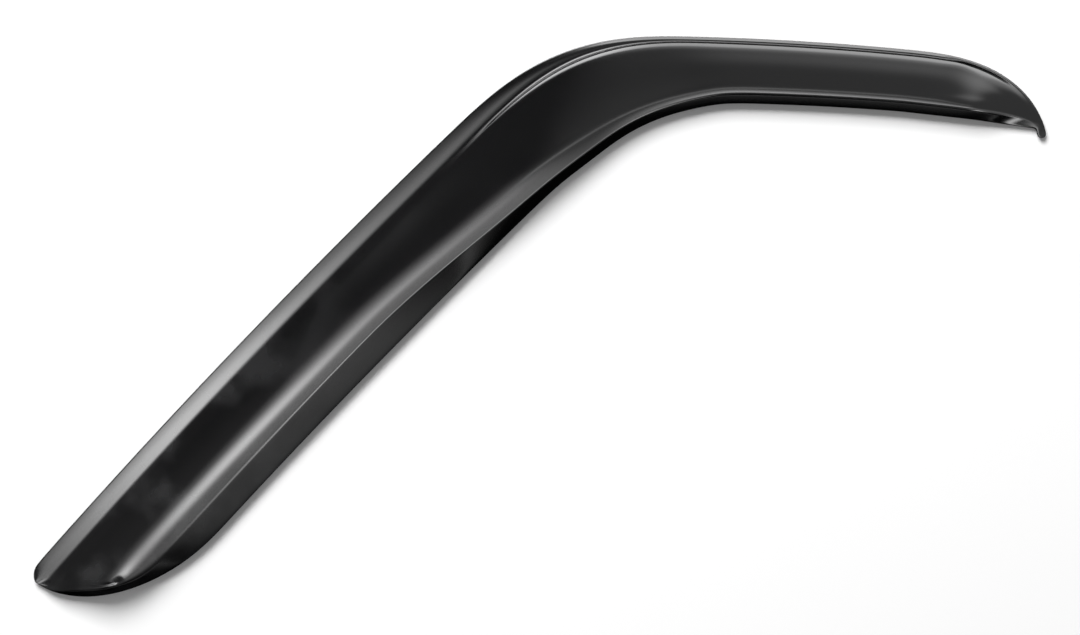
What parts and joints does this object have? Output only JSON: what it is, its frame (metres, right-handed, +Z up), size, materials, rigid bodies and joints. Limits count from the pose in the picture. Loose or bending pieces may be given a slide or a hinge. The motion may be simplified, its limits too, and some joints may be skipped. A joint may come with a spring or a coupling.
{
  "type": "window rain deflector",
  "caption": "Tape-on rain deflector for a left front door window: a glossy smoke-black acrylic shell with a flange, a stepped face, a ridge and a turned-in lip, on strips of foam tape.",
  "frame": {"origin": "on the sticky face of the roof tape, in the middle of its width, where the run along the roof starts", "axes": "+X to the rear of the car along the roof, +Z up, +Y through the door into the car, so that -Y is the outside"},
  "size_m": [0.8925, 0.0302, 0.4937],
  "materials": {
    "shell": "polished dark smoke acrylic, near black",
    "tape": "dark grey closed-cell foam tape with a sticky face"
  },
  "bodies": {
    "root": {"deflector_shell": "shell", "pillar_tape": "tape", "bend_tape": "tape", "roof_tape": "tape"}
  },
  "joints": []
}
